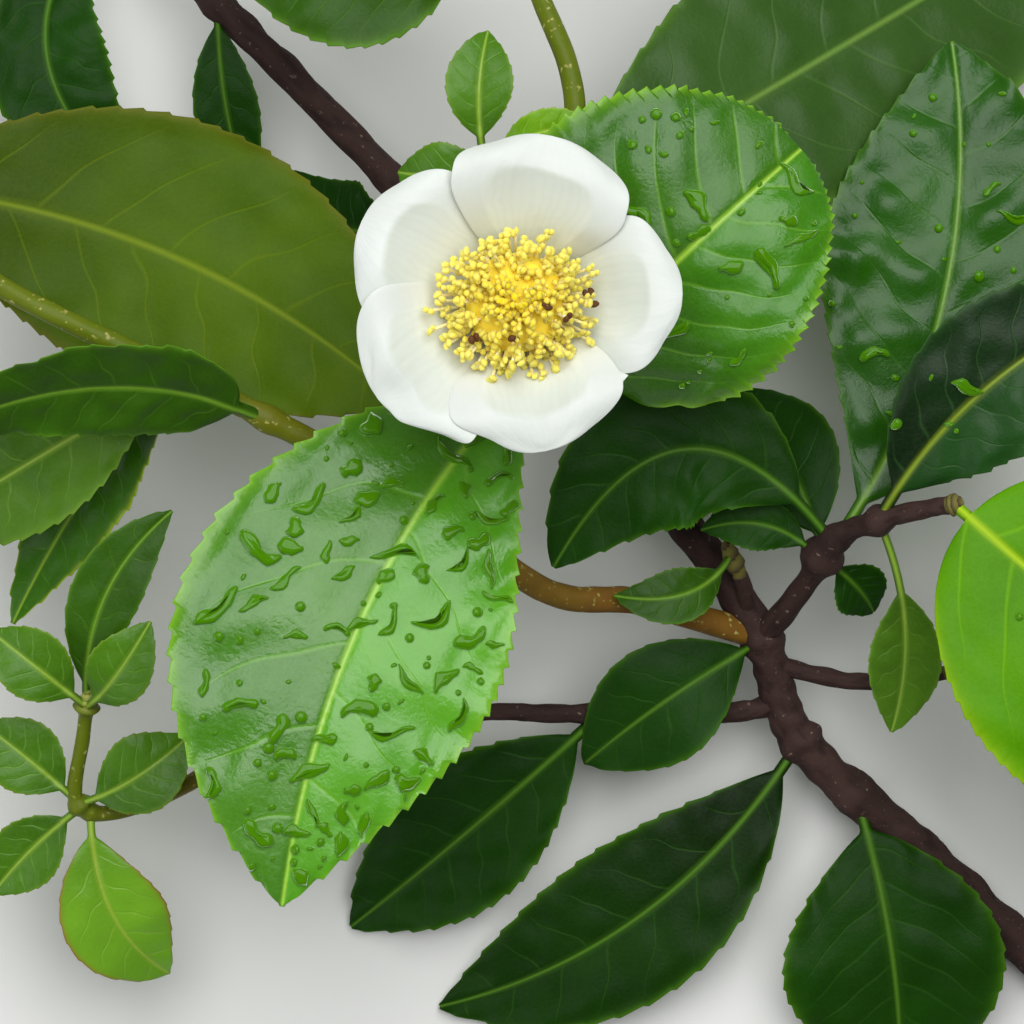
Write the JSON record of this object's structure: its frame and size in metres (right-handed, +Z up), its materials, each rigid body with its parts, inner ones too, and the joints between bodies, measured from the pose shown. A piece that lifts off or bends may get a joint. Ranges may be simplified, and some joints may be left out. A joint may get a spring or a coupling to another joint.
{
  "type": "cut tea branch with an open flower",
  "caption": "Leafy branch cut from a tea bush, lying down: woody stem, green shoots, toothed glossy leaves wet with drops, and one open white flower with yellow stamens",
  "frame": {"origin": "middle of the underside of the box round the branch as it lies on a level surface", "axes": "+X runs across the branch from its left shoot to its right leaves, +Y toward the far end of the main stem, +Z up out of the open flower"},
  "size_m": [0.2134, 0.1658, 0.0696],
  "materials": {
    "bark": "rough purplish brown bark",
    "green_twig": "smooth yellow-green young bark, browning toward the root",
    "leaf": "glossy leathery leaf",
    "leaf_dark": "glossy dark leaf",
    "leaf_fresh": "glossy young leaf",
    "leaf_under": "matt underside of a leaf",
    "petal": "satin white petal",
    "stamen": "matt pale filaments and yellow anthers",
    "calyx": "matt green sepals"
  },
  "bodies": {
    "root": {"main_stem": "bark", "flower_shoot": "green_twig", "young_shoot": "green_twig", "left_shoot": "green_twig", "lower_left_shoot": "green_twig", "right_shoot": "bark", "lower_shoot": "bark", "short_shoot": "bark", "low_right_shoot": "bark", "leaf_front_low": "leaf", "leaf_front_high": "leaf", "leaf_left_turned": "leaf_under", "leaf_left_folded": "leaf", "leaf_left_pale": "leaf", "leaf_left_curved": "leaf", "leaf_low_a": "leaf_fresh", "leaf_low_b": "leaf_fresh", "leaf_low_c": "leaf_fresh", "leaf_low_d": "leaf_fresh", "leaf_low_e": "leaf_fresh", "leaf_low_f": "leaf_fresh", "leaf_low_g": "leaf_fresh", "leaf_right_dark": "leaf_dark", "leaf_right_bright": "leaf_fresh", "leaf_right_upright": "leaf", "leaf_upper_right": "leaf_dark", "leaf_mid_right": "leaf_dark", "leaf_mid_round": "leaf_dark", "leaf_mid_small": "leaf_dark", "leaf_mid_olive": "leaf_dark", "leaf_lower_mid": "leaf_dark", "leaf_right_pale": "leaf_fresh", "leaf_right_small": "leaf_dark", "leaf_bottom_left": "leaf_dark", "leaf_bottom_mid": "leaf_dark", "leaf_bottom_right": "leaf_dark", "leaf_top": "leaf", "leaf_young_a": "leaf_fresh", "leaf_young_b": "leaf_fresh", "leaf_young_c": "leaf_fresh", "leaf_back_left": "leaf_dark", "leaf_back_mid": "leaf_dark", "leaf_back_low": "leaf_dark", "leaf_left_end": "leaf", "leaf_left_end_low": "leaf_dark", "leaf_back_end": "leaf_dark", "leaf_top_right": "leaf", "leaf_lower_end": "leaf_dark", "leaf_right_low": "leaf_dark", "petal_right": "petal", "petal_upper_left": "petal", "petal_top": "petal", "petal_lower_left": "petal", "petal_bottom": "petal", "calyx": "calyx", "flower_stalk": "green_twig", "stamens": "stamen"}
  },
  "joints": []
}
